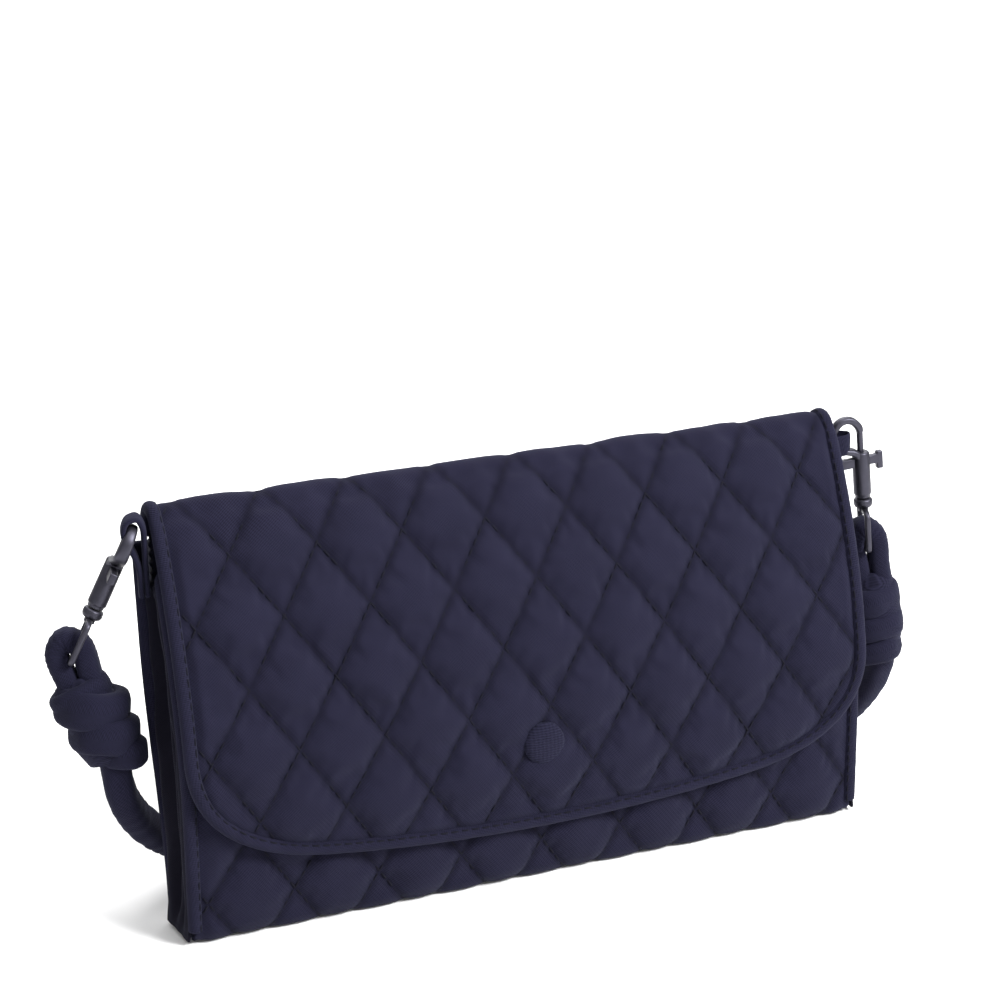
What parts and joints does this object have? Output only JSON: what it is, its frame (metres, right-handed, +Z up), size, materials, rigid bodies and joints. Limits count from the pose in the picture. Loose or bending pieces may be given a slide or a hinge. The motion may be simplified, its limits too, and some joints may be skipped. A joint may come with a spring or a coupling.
{
  "type": "wristlet wallet",
  "caption": "Slim quilted fabric wallet standing on its base: snap flap over a gusseted card and coin interior with a zip pocket, and a stuffed wrist strap knotted to swivel snap hooks.",
  "frame": {"origin": "centre of the flat underside of the wallet, on the surface it stands on", "axes": "+X along the wallet's width, -Y out of the flap's face, +Z up"},
  "size_m": [0.264, 0.0729, 0.1175],
  "materials": {
    "quilted_fabric": "matt brushed microfibre twill, quilted in diamonds",
    "binding_fabric": "matt microfibre twill bead with a row of topstitching",
    "gusset_fabric": "plain matt microfibre",
    "lining_fabric": "smooth woven polyester lining",
    "strap_fabric": "stuffed matt microfibre tube",
    "button_fabric": "fine ribbed cloth over a button",
    "gunmetal": "matt dark gunmetal coating",
    "snap_metal": "satin dark plating",
    "zip_brass": "polished brass",
    "zip_tape": "woven zip tape"
  },
  "bodies": {
    "wallet": {"base_panel": "quilted_fabric", "back_panel": "quilted_fabric", "back_lining": "lining_fabric", "divider_panel": "lining_fabric", "card_pocket_upper": "lining_fabric", "card_pocket_middle": "lining_fabric", "card_pocket_lower": "lining_fabric", "gusset_left": "gusset_fabric", "gusset_right": "gusset_fabric", "zipper_tape_back": "zip_tape", "zipper_tape_front": "zip_tape", "zipper_teeth": "zip_brass", "zipper_stop_left": "zip_brass", "zipper_stop_right": "zip_brass", "tab_left": "gusset_fabric", "tab_right": "gusset_fabric", "strap_run_left": "strap_fabric", "strap_run_right": "strap_fabric", "strap_rest": "strap_fabric"},
    "front": {"front_panel": "quilted_fabric", "front_binding": "binding_fabric", "front_lining": "lining_fabric", "snap_stud": "snap_metal", "snap_post": "snap_metal"},
    "flap": {"flap_panel": "quilted_fabric", "flap_binding": "binding_fabric", "flap_lining": "lining_fabric", "snap_cap": "button_fabric", "snap_socket": "snap_metal"},
    "slider": {"zipper_slider": "zip_brass"},
    "pull": {"zipper_pull": "zip_brass"},
    "hook_left": {"hook_frame_left": "gunmetal", "trigger_pin_left": "gunmetal", "trigger_spring_left": "gunmetal"},
    "lever_left": {"trigger_left": "gunmetal"},
    "eye_left": {"hook_eye_left": "gunmetal", "strap_knot_left": "strap_fabric"},
    "hook_right": {"hook_frame_right": "gunmetal", "trigger_pin_right": "gunmetal", "trigger_spring_right": "gunmetal"},
    "lever_right": {"trigger_right": "gunmetal"},
    "eye_right": {"hook_eye_right": "gunmetal", "strap_knot_right": "strap_fabric"}
  },
  "joints": [
    {"name": "flap_fold", "type": "hinge", "parent": "wallet", "child": "flap", "pos_m": [0, 0.0162, 0.1125], "axis": [-1, 0, 0], "range_deg": [0, 180]},
    {"name": "front_open", "type": "hinge", "parent": "wallet", "child": "front", "pos_m": [0, -0.0077, 0.003], "axis": [1, 0, 0], "range_deg": [0, 14.4]},
    {"name": "zip_slide", "type": "slide", "parent": "wallet", "child": "slider", "axis": [1, 0, 0], "range_m": [-0.008, 0.156]},
    {"name": "pull_swing", "type": "hinge", "parent": "slider", "child": "pull", "pos_m": [-0.076, 0.0121, 0.0976], "axis": [-1, 0, 0], "range_deg": [0, 12]},
    {"name": "hook_swing_left", "type": "hinge", "parent": "wallet", "child": "hook_left", "pos_m": [-0.10614, 0.01301, 0.11258], "axis": [0, 1, 0], "range_deg": [0, 25], "deforming": ["strap_run_left"]},
    {"name": "gate_lever_left", "type": "hinge", "parent": "hook_left", "child": "lever_left", "pos_m": [-0.11106, 0.01746, 0.1004], "axis": [0.8585, -0.2605, -0.4416], "range_deg": [0, 16], "stiffness_Nm_per_rad": 0.02, "springref_deg": -5.73, "deforming": ["trigger_spring_left"]},
    {"name": "eye_swivel_left", "type": "hinge", "parent": "hook_left", "child": "eye_left", "pos_m": [-0.1161, 0.0178, 0.0904], "axis": [0.45, -0.03, 0.8925], "range_deg": [-180, 0], "deforming": ["strap_run_left"]},
    {"name": "hook_swing_right", "type": "hinge", "parent": "wallet", "child": "hook_right", "pos_m": [0.10903, 0.01507, 0.11367], "axis": [0, -1, 0], "range_deg": [-3, 15], "deforming": ["strap_run_right"]},
    {"name": "gate_lever_right", "type": "hinge", "parent": "hook_right", "child": "lever_right", "pos_m": [0.11427, 0.01422, 0.10086], "axis": [-0.1399, -0.9901, 0.0082], "range_deg": [0, 16], "stiffness_Nm_per_rad": 0.02, "springref_deg": -5.73, "deforming": ["trigger_spring_right"]},
    {"name": "eye_swivel_right", "type": "hinge", "parent": "hook_right", "child": "eye_right", "pos_m": [0.1152, 0.014, 0.0897], "axis": [-0.083, 0.02, 0.9963], "continuous": true, "deforming": ["strap_run_right"]}
  ],
  "couplings": [
    {"joint": "front_open", "follows": "flap_fold", "ratio": 0.08}
  ]
}
